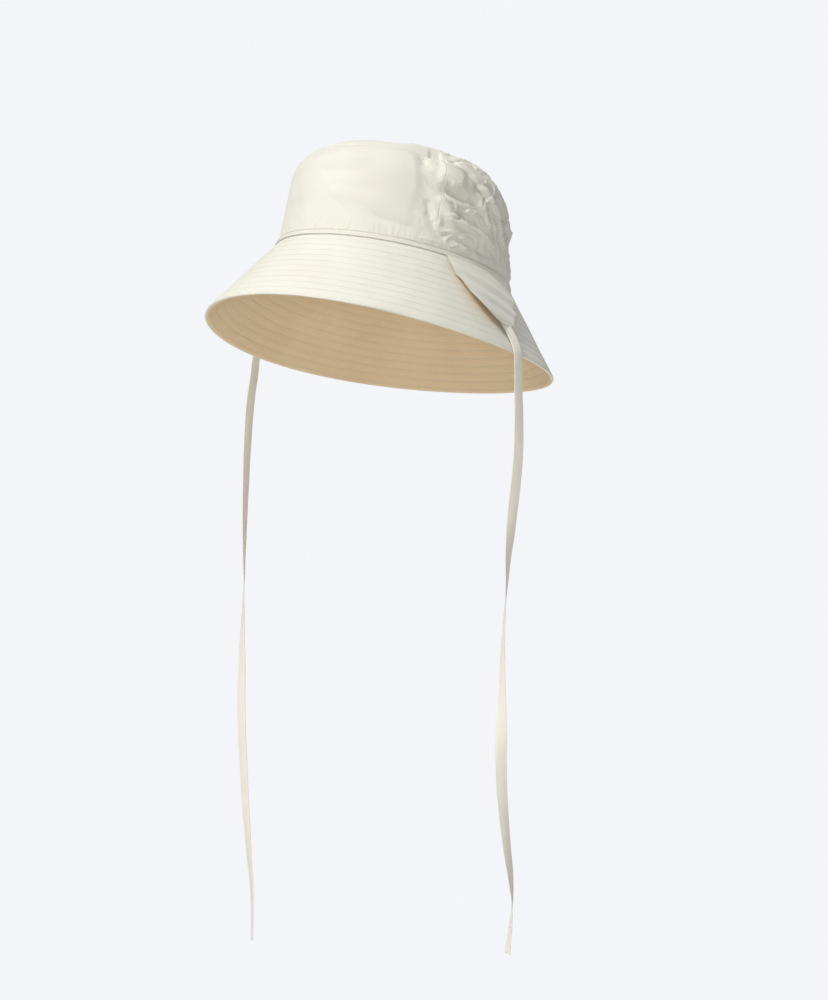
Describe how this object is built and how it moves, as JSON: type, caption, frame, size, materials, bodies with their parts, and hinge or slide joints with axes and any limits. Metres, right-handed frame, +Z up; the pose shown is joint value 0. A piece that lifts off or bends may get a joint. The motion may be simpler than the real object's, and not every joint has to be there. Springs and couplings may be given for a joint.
{
  "type": "tie-on bucket hat",
  "caption": "Soft cotton bucket hat with a stiff down-turned stitched brim and a chin tie hanging from a flap at each side, tipped back as worn.",
  "frame": {"origin": "centre of the head opening, in the plane of the crown and brim seam", "axes": "+Z up with the hat as worn, tipped back 14.5 degrees; -Y to the front; +X to the wearer's left"},
  "size_m": [0.287, 0.2808, 0.6407],
  "materials": {
    "outer_cotton": "plain cotton cloth, matt with a faint sheen",
    "brim_cotton": "cotton cloth stiffened and quilted with rows of stitching",
    "under_cotton": "cotton cloth of the brim's underside, warmer in tone",
    "lining": "light plain cotton lining",
    "sweatband_tape": "ribbed cotton tape",
    "stiffener": "non-woven stiffening",
    "thread": "cotton sewing thread",
    "tie_cotton": "folded and edge-stitched cotton strip"
  },
  "bodies": {
    "hat": {"crown_front_panel": "outer_cotton", "crown_back_panel": "outer_cotton", "crown_tip": "outer_cotton", "crown_lining_front_panel": "lining", "crown_lining_back_panel": "lining", "crown_lining_tip": "lining", "sweatband": "sweatband_tape", "crown_seam_stitch": "thread", "brim_upper": "brim_cotton", "brim_stiffener": "stiffener", "brim_under": "under_cotton", "brim_top_stitch_rows": "thread", "brim_under_stitch_rows": "thread", "left_flap_root": "outer_cotton", "right_flap_root": "outer_cotton"},
    "left_flap": {"left_flap_face": "outer_cotton", "left_flap_facing": "outer_cotton", "left_flap_edge_stitch": "thread"},
    "left_tie_top": {"left_tie_top": "tie_cotton"},
    "left_tie": {"left_tie": "tie_cotton"},
    "right_flap": {"right_flap_face": "outer_cotton", "right_flap_facing": "outer_cotton", "right_flap_edge_stitch": "thread"},
    "right_tie_top": {"right_tie_top": "tie_cotton"},
    "right_tie": {"right_tie": "tie_cotton"}
  },
  "joints": [
    {"name": "left_flap_lift", "type": "hinge", "parent": "hat", "child": "left_flap", "pos_m": [0.1015, 0.00448, -0.02182], "axis": [0.0816, -0.9649, 0.2496], "range_deg": [0, 60]},
    {"name": "left_tie_hang", "type": "hinge", "parent": "left_flap", "child": "left_tie_top", "pos_m": [0.1207, -0.00655, -0.0453], "axis": [0.0816, -0.9649, 0.2496], "range_deg": [-60, 0]},
    {"name": "left_tie_swing", "type": "hinge", "parent": "left_tie_top", "child": "left_tie", "pos_m": [0.1372, -0.00765, -0.082], "axis": [1, 0, 0], "range_deg": [-30, 30]},
    {"name": "right_flap_lift", "type": "hinge", "parent": "hat", "child": "right_flap", "pos_m": [-0.1015, 0.00448, -0.02182], "axis": [0.0816, 0.9649, -0.2496], "range_deg": [0, 60]},
    {"name": "right_tie_hang", "type": "hinge", "parent": "right_flap", "child": "right_tie_top", "pos_m": [-0.1207, -0.00655, -0.0453], "axis": [0.0816, 0.9649, -0.2496], "range_deg": [-60, 0]},
    {"name": "right_tie_swing", "type": "hinge", "parent": "right_tie_top", "child": "right_tie", "pos_m": [-0.1374, -0.01665, -0.081], "axis": [1, 0, 0], "range_deg": [-30, 30]}
  ],
  "couplings": [
    {"joint": "left_tie_hang", "follows": "left_flap_lift", "ratio": -1},
    {"joint": "right_tie_hang", "follows": "right_flap_lift", "ratio": -1}
  ]
}
